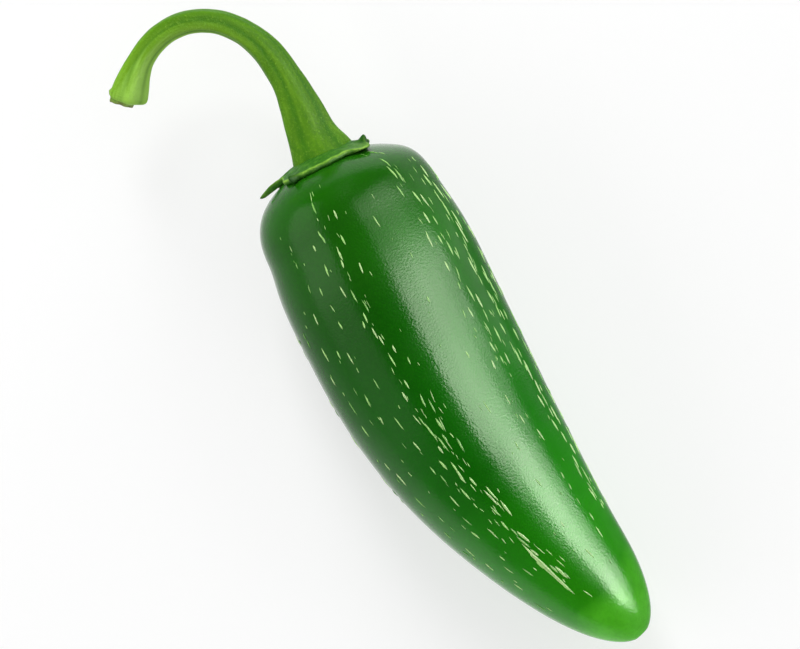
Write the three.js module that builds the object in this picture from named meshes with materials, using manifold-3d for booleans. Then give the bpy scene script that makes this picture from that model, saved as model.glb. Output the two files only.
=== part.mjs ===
// A green chilli pepper of the fat, blunt jalapeno kind, as picked: one smooth tapering pod with corky
// streaks in its skin, the flat calyx on its shoulder, and the ribbed stem that hooks over to its cut end.
// Millimetres, +Z up. The pepper lies on its side on the plane z = 0 with its tip towards +X, and the
// origin is on that plane under the middle of the whole pepper.
import * as THREE from "three";
import { mergeVertices } from "three/addons/utils/BufferGeometryUtils.js";
import Module from "manifold-3d";

const wasm = await Module();
wasm.setup();

// Driving dimensions
const GAP = 0.3; // between the pod, the calyx and the stem
const UP = new THREE.Vector3(0, 0, 1);
const FINE_STEP = 0.01; // for slopes along a curve, and for searching along it
const WELD = 1e-5; // corners closer than this are one
const TABLE_SIZE = [300, 300, 20]; // the block under z = 0 that flattens the belly

// The pod: [distance along the pod, sideways bend, height of its centre line, radius]. The distances start
// at the middle of the shoulder, and the pod is 90 long and 32 across at its thickest.
const POD_STATIONS = [
  [0, -0.92, 16.0, 0],
  [4, -1.15, 15.85, 12.1],
  [11.7, -1.25, 15.6, 14.95],
  [17, -1.6, 15.55, 15.7],
  [24.7, -2.25, 15.45, 16.0],
  [41.7, -3.15, 14.95, 15.4],
  [56.7, -2.3, 13.4, 13.55],
  [70.7, -0.1, 11.65, 10.6],
  [82.7, 2.7, 10.4, 7.1],
  [90.2, 4.5, 9.9, 0],
];
const POD_LOBES = 3; // one over each seed chamber
const LOBE_HEIGHT = 0.012; // as a share of the radius
const LOBE_TURN = Math.PI / 2; // leaves a trough, so a flatter belly, underneath
const POD_SIDES = 48;
const POD_RINGS = 40;
const SCAR_RADIUS = 1.5; // the flat at the tip where the flower dropped off
const SCAR_NUB = [ // [radius, height] of the worn end of the flower's stalk
  [0.55, 0],
  [0.33, 0.2],
  [0, 0.24],
];

// The calyx: [angle round the pod in degrees, how far a tooth stands out of the margin, its half width]
const CALYX_RADIUS = 8.1;
const CALYX_TEETH = [
  [180, 2.2, 4.5],
  [124, 1.0, 4],
  [42, 2.1, 14],
  [305, 0.8, 6],
  [242, 0.7, 6],
];
const CALYX_THICKNESS = 0.8;
const RIM_THICKNESS = 0.7;
const WEB_THICKNESS = 0.5; // between the middle and the rim
const WEB_RADIUS = 6.5; // where the calyx has thinned to its web
const RIM_SHARES = [0.72, 0.9]; // of the way to the margin, where the rim begins to rise and has risen
const TOOTH_LIFT = 0.7; // how far a tooth's end curls off the skin
const TOOTH_CURL = 6; // the higher, the nearer to its end a tooth begins to curl
const MARGIN_TUCK = 0.985; // how far in the underside's edge is
const CALYX_SIDES = 80;
const CALYX_STEPS = 6;

// The stem: [distance along the stem, x, y, z, radius], x and y from the middle of the shoulder
const STEM_STATIONS = [
  [0, 1.4, -0.15, 15.8, 5.3],
  [2.2, -0.8, 0.0, 15.95, 4.75],
  [4.8, -3.4, 0.15, 16.1, 3.95],
  [8.5, -7.1, 0.65, 16.4, 3.42],
  [13.7, -12.1, 1.25, 16.9, 2.7],
  [18.5, -17.1, 1.1, 17.3, 2.37],
  [24.5, -22.4, -0.45, 17.6, 2.02],
  [29.3, -26.2, -3.2, 17.6, 1.85],
  [34.4, -28.75, -7.55, 17.3, 1.82],
  [40.0, -29.0, -12.8, 16.6, 1.88],
  [44.8, -27.25, -17.1, 15.7, 2.1],
  [48.6, -24.9, -20.0, 14.95, 2.75],
];
// The swollen joint, then the ring and the hollow in it where the stem left the branch: [distance along,
// radius, how far it stands to the outside of the bend]
const STEM_END = [
  [50.0, 2.95, 0],
  [50.9, 2.75, 0.1],
  [51.3, 2.35, 0.4],
  [51.4, 1.95, 0.8],
  [52.2, 1.85, 0.8],
  [52.3, 1.45, 0.8],
  [51.9, 1.1, 0.8],
];
const STEM_ROOT = 3; // how far under the skin the stem's foot is cleared away
const STEM_RIBS = 5;
const RIB_HEIGHT = 0.055; // as a share of the radius
const RIB_TWIST = 0.9; // radians over the stem's length
const RIB_TURN = 0.4; // where the first rib starts, in radians
const END_RIBS = 0.3; // the share of the ribs' height that is left on the picked end
const STEM_SIDES = 25;
const STEM_RINGS = 38;

// Corky streaks, in bands that run along the pod: [angle round the pod in degrees, half width in degrees,
// first and last distance along the pod, streaks, size]
const STREAK_BANDS = [
  [104, 10, 6, 48, 26, 0.85],
  [105, 11, 42, 76, 24, 1.15],
  [128, 12, 9, 72, 22, 0.8],
  [151, 9, 24, 78, 12, 0.9],
  [46, 9, 5, 42, 24, 1.05],
  [51, 8, 40, 76, 8, 0.85],
  [26, 8, 8, 68, 30, 1.35],
  [8, 7, 10, 68, 20, 1.3],
  [73, 8, 12, 80, 8, 0.8],
  [345, 9, 12, 66, 12, 1.0],
  [318, 9, 8, 70, 16, 1.0],
  [292, 9, 12, 62, 8, 0.9],
  [242, 8, 16, 60, 7, 0.9],
  [215, 10, 10, 70, 16, 1.0],
  [185, 12, 20, 66, 9, 0.9],
];
const LONG_SCAR = [109, 71, 6, 0.5, 0.03]; // the longest streak: angle, distance, half length and width, slant
const STREAK_HALF_LENGTH = [0.7, 1.5];
const STREAK_HALF_WIDTH = [0.24, 0.38];
const STREAK_SLANT = 0.24; // the most that a streak's two ends differ in their slant, as a slope
const STREAK_SHOULDERS = [0.4, 0.5]; // shares of the half length at which a streak has its full width
const STREAK_HEIGHT = 0.22;
const STREAK_FOOT = 0.08; // how far under the skin a streak's edge is
const STREAK_ROOT = 0.9;
const STREAK_SEED = 4711;
const DRAW_FACTOR = 16807;
const DRAW_PERIOD = 2147483647;

// A smooth curve through rows of [distance, values...]: natural cubic splines, one for each column.
function splineThrough(rows, column) {
  const last = rows.length - 1;
  const at = rows.map((row) => row[0]);
  const value = rows.map((row) => row[column]);
  const bend = new Array(last + 1).fill(0);
  const carried = new Array(last + 1).fill(0);
  for (let i = 1; i < last; i++) {
    const share = (at[i] - at[i - 1]) / (at[i + 1] - at[i - 1]);
    const after = (value[i + 1] - value[i]) / (at[i + 1] - at[i]);
    const before = (value[i] - value[i - 1]) / (at[i] - at[i - 1]);
    const pivot = share * carried[i - 1] + 2;
    carried[i] = (share - 1) / pivot;
    bend[i] = ((6 * (after - before)) / (at[i + 1] - at[i - 1]) - share * bend[i - 1]) / pivot;
  }
  for (let i = last - 1; i > 0; i--) bend[i] += carried[i] * bend[i + 1];
  return (distance) => {
    let i = 0;
    while (i < last - 1 && distance > at[i + 1]) i++;
    const span = at[i + 1] - at[i];
    const a = (at[i + 1] - distance) / span;
    const b = (distance - at[i]) / span;
    const bent = (a ** 3 - a) * bend[i] + (b ** 3 - b) * bend[i + 1];
    return a * value[i] + b * value[i + 1] + (bent * span * span) / 6;
  };
}

// The same numbers in every run, from 0 to 1.
function seededDraw(seed) {
  let state = seed;
  return () => {
    state = (state * DRAW_FACTOR) % DRAW_PERIOD;
    return state / DRAW_PERIOD;
  };
}

// A centre line with a level and an upright direction across it at every distance.
function centreLine(x, y, z) {
  const point = (s) => new THREE.Vector3(x(s), y(s), z(s));
  return (s) => {
    const along = point(s + FINE_STEP).sub(point(s - FINE_STEP)).normalize();
    const level = new THREE.Vector3().crossVectors(UP, along).normalize();
    const upright = new THREE.Vector3().crossVectors(along, level);
    return { middle: point(s), along, level, upright };
  };
}

// A closed skin: a ball whose rows of corners are moved to rings of points, and its ends to two points.
function skinOver(rings, firstEnd, lastEnd) {
  const sides = rings[0].length;
  const rows = [new Array(sides).fill(firstEnd), ...rings, new Array(sides).fill(lastEnd)];
  const skin = new THREE.SphereGeometry(1, sides, rows.length - 1);
  const corners = skin.getAttribute("position");
  for (let i = 0; i < corners.count; i++) {
    const row = Math.floor(i / (sides + 1));
    const side = (2 * sides - (i % (sides + 1))) % sides;
    corners.setXYZ(i, ...rows[row][side]);
  }
  return skin;
}

function solidOf(geometry) {
  const bare = new THREE.BufferGeometry();
  bare.setAttribute("position", geometry.getAttribute("position"));
  bare.setIndex(geometry.getIndex());
  const merged = mergeVertices(bare, WELD);
  return new wasm.Manifold(
    new wasm.Mesh({
      numProp: 3,
      vertProperties: new Float32Array(merged.getAttribute("position").array),
      triVerts: new Uint32Array(merged.getIndex().array),
    }),
  );
}

function geometryOf(solid) {
  const mesh = solid.getMesh();
  const geometry = new THREE.BufferGeometry();
  geometry.setAttribute("position", new THREE.BufferAttribute(mesh.vertProperties, 3));
  geometry.setIndex(new THREE.BufferAttribute(mesh.triVerts, 1));
  geometry.computeVertexNormals();
  return geometry;
}

// The pod's surface. Its girth squared is the smooth curve, which rounds the shoulder and the tip.
const podLength = POD_STATIONS.at(-1)[0];
const podGirth = splineThrough(
  POD_STATIONS.map(([s, , , radius]) => [s, radius * radius]),
  1,
);
const podLine = centreLine((s) => s, splineThrough(POD_STATIONS, 1), splineThrough(POD_STATIONS, 2));
const podRadius = (s) => Math.sqrt(Math.max(podGirth(s), 0));

// A point on the skin at a distance along the pod and an angle round it, raised by lift. Angle 0 is level,
// towards +Y, and a quarter turn is on top.
function podPoint(s, angle, lift = 0) {
  const { middle, along, level, upright } = podLine(s);
  const lobe = 1 + LOBE_HEIGHT * Math.cos(POD_LOBES * angle + LOBE_TURN);
  const outward = level.multiplyScalar(Math.cos(angle)).addScaledVector(upright, Math.sin(angle));
  const taper = (podGirth(s + FINE_STEP) - podGirth(s - FINE_STEP)) / (4 * FINE_STEP);
  const radius = podRadius(s);
  const normal = outward.clone().multiplyScalar(radius).addScaledVector(along, -taper);
  return middle.addScaledVector(outward, radius * lobe).addScaledVector(normal.normalize(), lift);
}

// The distance along the pod at which the shoulder has reached a radius
function shoulderAt(radius) {
  let low = 0;
  let high = POD_STATIONS[2][0];
  while (high - low > WELD) {
    const middle = (low + high) / 2;
    if (podRadius(middle) < radius) low = middle;
    else high = middle;
  }
  return low;
}

const turn = (side, sides) => (2 * Math.PI * side) / sides;
const ringOf = (sides, pointAt) => Array.from({ length: sides }, (_, side) => pointAt(turn(side, sides)));

// The pod, closed by the small flat scar and the nub on it
function podSkin() {
  let scarAt = podLength;
  while (podRadius(scarAt) < SCAR_RADIUS) scarAt -= FINE_STEP;
  const rings = [];
  for (let ring = 1; ring <= POD_RINGS; ring++) {
    const s = (scarAt * (1 - Math.cos((Math.PI * ring) / (POD_RINGS + 1)))) / 2;
    rings.push(ringOf(POD_SIDES, (angle) => podPoint(s, angle)));
  }
  const { middle, along, level, upright } = podLine(scarAt);
  const disc = ([radius, rise]) =>
    ringOf(POD_SIDES, (angle) =>
      middle
        .clone()
        .addScaledVector(along, rise)
        .addScaledVector(level, radius * Math.cos(angle))
        .addScaledVector(upright, radius * Math.sin(angle)),
    );
  const scar = [[SCAR_RADIUS, 0], ...SCAR_NUB.slice(0, -1)].map(disc);
  const nubEnd = middle.clone().addScaledVector(along, SCAR_NUB.at(-1)[1]);
  return skinOver([...rings, ...scar], podPoint(0, 0), nubEnd);
}

// One corky streak: a low pointed ridge with its root sunk into the flesh
function streak(s, angle, halfLength, halfWidth, slant) {
  const at = (forward, sideways, lift) =>
    podPoint(s + forward, angle + (sideways + slant * forward) / podRadius(s), lift);
  const [near, far] = STREAK_SHOULDERS.map((share) => share * halfLength);
  const outline = [
    at(-halfLength, 0, -STREAK_FOOT),
    at(-near, halfWidth, -STREAK_FOOT),
    at(far, halfWidth, -STREAK_FOOT),
    at(halfLength, 0, -STREAK_FOOT),
    at(near, -halfWidth, -STREAK_FOOT),
    at(-far, -halfWidth, -STREAK_FOOT),
  ];
  return solidOf(skinOver([outline], at(0, 0, -STREAK_ROOT), at(0, 0, STREAK_HEIGHT)));
}

// The bands of streaks, drawn with a fixed seed, and the one long scar near the tip
function streaks() {
  const draw = seededDraw(STREAK_SEED);
  const between = ([low, high]) => low + (high - low) * draw();
  const made = [];
  for (const [angle, spread, first, last, count, size] of STREAK_BANDS) {
    for (let i = 0; i < count; i++) {
      const s = first + ((last - first) * (i + draw())) / count;
      const round = THREE.MathUtils.degToRad(angle + spread * (draw() + draw() - 1));
      const halfLength = size * between(STREAK_HALF_LENGTH);
      const halfWidth = size * between(STREAK_HALF_WIDTH);
      made.push(streak(s, round, halfLength, halfWidth, STREAK_SLANT * (draw() - 0.5)));
    }
  }
  const [angle, s, halfLength, halfWidth, slant] = LONG_SCAR;
  made.push(streak(s, THREE.MathUtils.degToRad(angle), halfLength, halfWidth, slant));
  return made;
}

// How far the calyx reaches down the shoulder at an angle, and how much of that is a tooth
function calyxMargin(angle) {
  let tooth = 0;
  for (const [at, reach, halfWidth] of CALYX_TEETH) {
    const away = THREE.MathUtils.radToDeg(angle) - at;
    const apart = (((away + 540) % 360) - 180) / halfWidth;
    tooth += reach * Math.exp(-apart * apart);
  }
  return { radius: CALYX_RADIUS + tooth, tooth };
}

// The calyx from an underside, just clear of the shoulder, to its upper face, which extra raises
function calyxSkin(underside = GAP, extra = 0) {
  const point = (share, angle, top) => {
    const { radius, tooth } = calyxMargin(angle);
    const reach = share * radius;
    const curl = TOOTH_LIFT * (tooth / CALYX_TEETH[0][1]) * share ** TOOTH_CURL;
    const web = THREE.MathUtils.lerp(CALYX_THICKNESS, WEB_THICKNESS, Math.min(1, reach / WEB_RADIUS));
    const rim = (RIM_THICKNESS - WEB_THICKNESS) * THREE.MathUtils.smoothstep(share, ...RIM_SHARES);
    return podPoint(shoulderAt(reach), angle, curl + (top ? GAP + web + rim + extra : underside));
  };
  const rings = [];
  for (let step = 1; step <= CALYX_STEPS; step++) {
    const share = step / CALYX_STEPS;
    rings.push(ringOf(CALYX_SIDES, (angle) => point(share, angle, true)));
  }
  for (let step = CALYX_STEPS; step >= 1; step--) {
    const share = step === CALYX_STEPS ? MARGIN_TUCK : step / CALYX_STEPS;
    rings.push(ringOf(CALYX_SIDES, (angle) => point(share, angle, false)));
  }
  return skinOver(rings, point(0, 0, true), point(0, 0, false));
}

// The stem: ribbed, flared onto the calyx, hooked over, and swollen at the joint where it was picked
function stemSkin() {
  const column = (i) => splineThrough(STEM_STATIONS, i);
  const line = centreLine(column(1), column(2), column(3));
  const shaft = STEM_STATIONS.map(([s, , , , radius]) => [s, radius]);
  const radiusAt = splineThrough([...shaft, ...STEM_END.slice(0, 2)], 1);
  const stemLength = STEM_END.at(-2)[0];
  const ring = (s, radius, ribs, outside = 0) => {
    const { middle, level, upright } = line(s);
    middle.addScaledVector(level, -outside);
    return ringOf(STEM_SIDES, (angle) => {
      const turned = angle - RIB_TURN - (RIB_TWIST * s) / stemLength;
      const rib = 1 + ribs * RIB_HEIGHT * Math.cos(STEM_RIBS * turned);
      return middle
        .clone()
        .addScaledVector(level, radius * rib * Math.cos(angle))
        .addScaledVector(upright, radius * rib * Math.sin(angle));
    });
  };
  const endStart = STEM_END[0][0];
  const rings = [];
  for (let i = 0; i <= STEM_RINGS; i++) {
    const s = (endStart * i) / STEM_RINGS;
    rings.push(ring(s, radiusAt(s), 1));
  }
  for (const [s, radius, outside] of STEM_END.slice(1)) rings.push(ring(s, radius, END_RIBS, outside));
  const [hollowAt, , hollowOutside] = STEM_END.at(-1);
  const { middle, level } = line(hollowAt);
  return skinOver(rings, line(0).middle, middle.addScaledVector(level, -hollowOutside));
}

// Joining and cutting: streaks into the pod, a small flat under its belly, the stem's foot over the calyx
function makePod() {
  let pod = solidOf(podSkin());
  for (const ridge of streaks()) pod = pod.add(ridge);
  const table = new THREE.BoxGeometry(...TABLE_SIZE).translate(0, 0, -TABLE_SIZE[2] / 2);
  return geometryOf(pod.subtract(solidOf(table)));
}

function makeStem() {
  return geometryOf(solidOf(stemSkin()).subtract(solidOf(calyxSkin(-STEM_ROOT, GAP))));
}

const colours = {
  pod: new THREE.MeshStandardMaterial({ color: 0x1c6410, roughness: 0.3, metalness: 0 }),
  calyx: new THREE.MeshStandardMaterial({ color: 0x4c8a26, roughness: 0.5, metalness: 0 }),
  stem: new THREE.MeshStandardMaterial({ color: 0x62a524, roughness: 0.45, metalness: 0 }),
};

const pepper = new THREE.Group();
const pieces = { pod: makePod(), calyx: geometryOf(solidOf(calyxSkin())), stem: makeStem() };
for (const [name, geometry] of Object.entries(pieces)) {
  const mesh = new THREE.Mesh(geometry, colours[name]);
  mesh.name = name;
  pepper.add(mesh);
}

// The origin goes under the middle of the whole pepper.
const reach = new THREE.Box3().setFromObject(pepper);
pepper.position.set(-(reach.min.x + reach.max.x) / 2, -(reach.min.y + reach.max.y) / 2, 0);

export default pepper;
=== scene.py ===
import math

import bpy
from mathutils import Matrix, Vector


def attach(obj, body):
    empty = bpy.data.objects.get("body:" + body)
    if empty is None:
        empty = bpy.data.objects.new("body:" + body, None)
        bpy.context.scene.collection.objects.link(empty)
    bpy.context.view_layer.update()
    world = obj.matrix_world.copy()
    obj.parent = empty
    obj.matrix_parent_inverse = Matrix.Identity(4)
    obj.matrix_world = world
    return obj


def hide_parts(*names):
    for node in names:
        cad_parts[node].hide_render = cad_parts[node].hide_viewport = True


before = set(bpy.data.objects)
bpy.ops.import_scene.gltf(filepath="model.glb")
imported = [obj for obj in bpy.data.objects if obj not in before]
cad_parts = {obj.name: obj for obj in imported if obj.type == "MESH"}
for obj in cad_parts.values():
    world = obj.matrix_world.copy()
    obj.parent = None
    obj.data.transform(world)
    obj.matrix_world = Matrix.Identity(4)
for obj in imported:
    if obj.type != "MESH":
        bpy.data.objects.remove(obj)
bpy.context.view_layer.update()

MM = 0.001
UP = Vector((0, 0, 1))

# The pod, the fruit itself: one waxy dark green skin that bends and tapers to a blunt tip. It is swept
# along its own centre line, the square of its radius is a smooth curve so that the shoulder and the tip are
# round, and it rests on a small flat under its belly.
SHOULDER = Vector((-29.592, 5.101, 0)) * MM  # the middle of the pod's shoulder
POD_STATIONS = (  # mm: distance along the pod, sideways bend, height of the centre line, radius
    (0, -0.92, 16.0, 0),
    (4, -1.15, 15.85, 12.1),
    (11.7, -1.25, 15.6, 14.95),
    (17, -1.6, 15.55, 15.7),
    (24.7, -2.25, 15.45, 16.0),
    (41.7, -3.15, 14.95, 15.4),
    (56.7, -2.3, 13.4, 13.55),
    (70.7, -0.1, 11.65, 10.6),
    (82.7, 2.7, 10.4, 7.1),
    (90.2, 4.5, 9.9, 0),
)
POD_LENGTH = POD_STATIONS[-1][0] * MM
POD_LOBES = 3  # one over each seed chamber
LOBE_HEIGHT = 0.012
LOBE_TURN = -math.pi / 6
LINE_STEPS = 400
LEAST_GIRTH = 1e-10  # m2, so that a skin's ends stay points
LEAST_LENGTH = 0.01 * MM
SCAR_RADIUS = 1.5 * MM
POD_WAVE_WIDTH = 14.0 * MM
POD_WAVE_HEIGHT = 0.25 * MM
# The skin's green along the pod, darkest at the shoulder and lighter towards the tip; the two brightest
# greens at the very tip are a painted glow.
POD_GREENS_AND_TIP_GLOW = (  # share of the way along the pod, colour
    (0.0, (0.011, 0.110, 0.0020)),
    (0.30, (0.0044, 0.089, 0.0006)),
    (0.55, (0.0038, 0.125, 0.0005)),
    (0.75, (0.012, 0.235, 0.0009)),
    (0.87, (0.023, 0.290, 0.0020)),
    (0.95, (0.095, 0.560, 0.0200)),
    (1.0, (0.130, 0.680, 0.0380)),
)
# How far painted light brightens the pod's right side, which faces the bank: each is a factor and an
# offset, of the side or of the way along.
RIGHT_LIGHT_SIDE = (1.6, 0.3)
RIGHT_LIGHT_START = (8.0, -0.6)
RIGHT_LIGHT_END = (-1.8, 1.6)
RIGHT_LIGHT_MOST = 0.8
SPECKLE_GREEN = (0.018, 0.16, 0.004)
SCAR_START = (900.0, -896.2)
SCAR_COLOUR = (0.38, 0.50, 0.17)
# Spots for a metre, and depths
CLOUD_SCALE = 110.0
CLOUD_SHIFT = 0.16
SPECKLE_SCALE = 1500.0
SMEAR_SCALE = 260.0
DIMPLE_SCALE = 3200.0
DIMPLE_DEPTH = 0.04 * MM
WRINKLE_SCALE = 1300.0
WRINKLE_DEPTH = 0.06 * MM


def smooth_curve(stations, column):
    """The natural cubic spline through one column of the stations, over their first column."""
    at = [row[0] for row in stations]
    value = [row[column] for row in stations]
    last = len(at) - 1
    bend = [0.0] * (last + 1)
    carried = [0.0] * (last + 1)
    for i in range(1, last):
        share = (at[i] - at[i - 1]) / (at[i + 1] - at[i - 1])
        pivot = share * carried[i - 1] + 2
        after = (value[i + 1] - value[i]) / (at[i + 1] - at[i])
        before = (value[i] - value[i - 1]) / (at[i] - at[i - 1])
        carried[i] = (share - 1) / pivot
        bend[i] = (6 * (after - before) / (at[i + 1] - at[i - 1]) - share * bend[i - 1]) / pivot
    for i in range(last - 1, 0, -1):
        bend[i] += carried[i] * bend[i + 1]

    def curve(distance):
        i = 0
        while i < last - 1 and distance > at[i + 1]:
            i += 1
        span = at[i + 1] - at[i]
        a = (at[i + 1] - distance) / span
        b = (distance - at[i]) / span
        bent = (a**3 - a) * bend[i] + (b**3 - b) * bend[i + 1]
        return a * value[i] + b * value[i + 1] + bent * span * span / 6

    return curve


def centre_line(name, points, radii):
    """A line of joined points that carries the square of the radius and how fast it changes, for a tree."""
    girth = [radius * radius for radius in radii]
    taper = []
    for i in range(len(points)):
        before, after = max(i - 1, 0), min(i + 1, len(points) - 1)
        step = (points[after] - points[before]).length
        taper.append((girth[after] - girth[before]) / (2 * step))
    mesh = bpy.data.meshes.new(name)
    mesh.from_pydata(points, [(i, i + 1) for i in range(len(points) - 1)], [])
    for column, numbers in (("girth", girth), ("taper", taper)):
        mesh.attributes.new(column, "FLOAT", "POINT").data.foreach_set("value", numbers)
    line = bpy.data.objects.new(name, mesh)
    bpy.context.scene.collection.objects.link(line)
    return line


def add(tree, kind, feeds=None, **settings):
    """Adds a node: feeds gives each input a value or another node's socket."""
    node = tree.nodes.new(kind)
    for name, value in settings.items():
        setattr(node, name, value)
    for socket, value in (feeds or {}).items():
        if isinstance(value, bpy.types.NodeSocket):
            tree.links.new(value, node.inputs[socket])
        else:
            node.inputs[socket].default_value = value
    return node


def calc(tree, operation, *values):
    return add(tree, "ShaderNodeMath", dict(enumerate(values)), operation=operation).outputs[0]


def clamped(tree, value, factor, offset):
    """A value times a factor plus an offset, kept between 0 and 1."""
    feeds = {0: value, 1: factor, 2: offset}
    return add(tree, "ShaderNodeMath", feeds, operation="MULTIPLY_ADD", use_clamp=True).outputs[0]


def calc_vector(tree, operation, *values):
    node = add(tree, "ShaderNodeVectorMath", dict(enumerate(values)), operation=operation)
    return node.outputs["Value" if operation in ("DOT_PRODUCT", "LENGTH") else "Vector"]


def stretch(tree, vector, factor):
    return add(tree, "ShaderNodeVectorMath", {0: vector, "Scale": factor}, operation="SCALE").outputs[0]


def join_xyz(tree, x, y, z):
    return add(tree, "ShaderNodeCombineXYZ", {0: x, 1: y, 2: z}).outputs[0]


def split_xyz(tree, vector):
    return add(tree, "ShaderNodeSeparateXYZ", {0: vector}).outputs


def stored(tree, name, kind="FLOAT"):
    return add(tree, "GeometryNodeInputNamedAttribute", {"Name": name}, data_type=kind).outputs[0]


def store(tree, geometry, name, value, kind="FLOAT"):
    feeds = {"Geometry": geometry, "Name": name, "Value": value}
    return add(tree, "GeometryNodeStoreNamedAttribute", feeds, data_type=kind, domain="POINT").outputs[0]


def new_tree(name, inputs, outputs):
    tree = bpy.data.node_groups.new(name, "GeometryNodeTree")
    for label, kind in inputs.items():
        tree.interface.new_socket(label, in_out="INPUT", socket_type="NodeSocket" + kind)
    for label, kind in outputs.items():
        tree.interface.new_socket(label, in_out="OUTPUT", socket_type="NodeSocket" + kind)
    return tree, tree.nodes.new("NodeGroupInput").outputs, tree.nodes.new("NodeGroupOutput").inputs


SWEEP_INPUTS = {
    "Lobes": "Float",
    "Lobe height": "Float",
    "Lobe turn": "Float",
    "Lobe twist": "Float",
    "Wave width": "Float",
    "Wave height": "Float",
}


def swept_surface():
    """The place on a skin at a share of its centre line and an angle round it, raised by lift. Angle 0 is
    level, and a quarter turn is on top. Slow waves of the given size keep the skin from looking turned."""
    place = {"Centre line": "Geometry", "Share": "Float", "Angle": "Float", "Lift": "Float"}
    tree, given, result = new_tree(
        "swept_surface", {**place, **SWEEP_INPUTS}, {"Place": "Vector", "Straight": "Vector"}
    )
    line = add(tree, "GeometryNodeMeshToCurve", {0: given["Centre line"]}).outputs[0]
    sampled = {}
    for column in ("girth", "taper"):
        feeds = {"Curves": line, "Value": stored(tree, column), "Factor": given["Share"]}
        sample = add(tree, "GeometryNodeSampleCurve", feeds, mode="FACTOR", use_all_curves=True)
        sampled[column] = sample.outputs
    middle, along = sampled["girth"]["Position"], sampled["girth"]["Tangent"]
    level = calc_vector(tree, "NORMALIZE", calc_vector(tree, "CROSS_PRODUCT", tuple(UP), along))
    upright = calc_vector(tree, "CROSS_PRODUCT", along, level)
    cosine = calc(tree, "COSINE", given["Angle"])
    sine = calc(tree, "SINE", given["Angle"])
    outward = calc_vector(tree, "ADD", stretch(tree, level, cosine), stretch(tree, upright, sine))
    girth = calc(tree, "MAXIMUM", sampled["girth"]["Value"], LEAST_GIRTH)
    radius = calc(tree, "SQRT", girth)
    twist = calc(tree, "MULTIPLY_ADD", given["Share"], given["Lobe twist"], given["Lobe turn"])
    turned = calc(tree, "MULTIPLY", calc(tree, "SUBTRACT", given["Angle"], twist), given["Lobes"])
    lobe = calc(tree, "MULTIPLY_ADD", calc(tree, "COSINE", turned), given["Lobe height"], 1.0)
    lobed = calc(tree, "MULTIPLY", radius, lobe)
    plain = calc_vector(tree, "ADD", middle, stretch(tree, outward, lobed))
    back = stretch(tree, along, sampled["taper"]["Value"])
    normal = calc_vector(tree, "SUBTRACT", stretch(tree, outward, radius), back)
    normal = calc_vector(tree, "NORMALIZE", normal)
    waves = add(tree, "ShaderNodeTexNoise", {"Vector": plain, "Detail": 1.0, "Roughness": 0.4})
    tree.links.new(calc(tree, "DIVIDE", 1.0, given["Wave width"]), waves.inputs["Scale"])
    wave = calc(tree, "MULTIPLY", calc(tree, "SUBTRACT", waves.outputs[0], 0.5), given["Wave height"])
    raised = stretch(tree, normal, calc(tree, "ADD", wave, given["Lift"]))
    tree.links.new(calc_vector(tree, "ADD", plain, raised), result["Place"])
    length = add(tree, "GeometryNodeCurveLength", {0: line}).outputs[0]
    straight = join_xyz(
        tree,
        calc(tree, "MULTIPLY", cosine, radius),
        calc(tree, "MULTIPLY", sine, radius),
        calc(tree, "MULTIPLY", length, given["Share"]),
    )
    tree.links.new(straight, result["Straight"])
    return tree


SURFACE = swept_surface()


def place_on_sweep(tree, given, share, angle, lift):
    """The swept surface inside another tree, fed from that tree's own inputs."""
    line = add(tree, "GeometryNodeObjectInfo", {"Object": given["Centre line"]}, transform_space="ORIGINAL")
    feeds = {"Centre line": line.outputs["Geometry"], "Share": share, "Angle": angle, "Lift": lift}
    feeds.update({name: given[name] for name in SWEEP_INPUTS})
    return add(tree, "GeometryNodeGroup", feeds, node_tree=SURFACE).outputs


def finish_tree(tree, geometry, finish, result):
    realized = add(tree, "GeometryNodeRealizeInstances", {0: geometry}).outputs[0]
    smooth = add(tree, "GeometryNodeSetShadeSmooth", {"Geometry": realized}).outputs[0]
    done = add(tree, "GeometryNodeSetMaterial", {"Geometry": smooth, "Material": finish})
    tree.links.new(done.outputs[0], result["Geometry"])


def swept_skin():
    """A closed skin over a centre line: a ball's corners, moved to the swept surface. It is flattened where
    it would pass below the table or past the plane across its tip."""
    tree, given, result = new_tree(
        "swept_skin",
        {
            "Geometry": "Geometry",
            "Centre line": "Object",
            "Sides": "Int",
            "Rings": "Int",
            **SWEEP_INPUTS,
            "Tip": "Vector",
            "Tip axis": "Vector",
            "Finish": "Material",
        },
        {"Geometry": "Geometry"},
    )
    ball = add(tree, "GeometryNodeMeshUVSphere", {"Segments": given["Sides"], "Rings": given["Rings"]})
    x, y, z = split_xyz(tree, add(tree, "GeometryNodeInputPosition").outputs[0])
    share = calc(tree, "MULTIPLY_ADD", z, 0.5, 0.5)
    swept = place_on_sweep(tree, given, share, calc(tree, "ARCTAN2", y, x), 0.0)
    skin = store(tree, ball.outputs[0], "along", share)
    skin = store(tree, skin, "straight", swept["Straight"], "FLOAT_VECTOR")
    away = calc_vector(tree, "SUBTRACT", swept["Place"], given["Tip"])
    past = calc(tree, "MAXIMUM", calc_vector(tree, "DOT_PRODUCT", away, given["Tip axis"]), 0.0)
    cut = calc_vector(tree, "SUBTRACT", swept["Place"], stretch(tree, given["Tip axis"], past))
    px, py, pz = split_xyz(tree, cut)
    place = join_xyz(tree, px, py, calc(tree, "MAXIMUM", pz, 0.0))
    skin = add(tree, "GeometryNodeSetPosition", {"Geometry": skin, "Position": place}).outputs[0]
    finish_tree(tree, skin, given["Finish"], result)
    return tree


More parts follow.
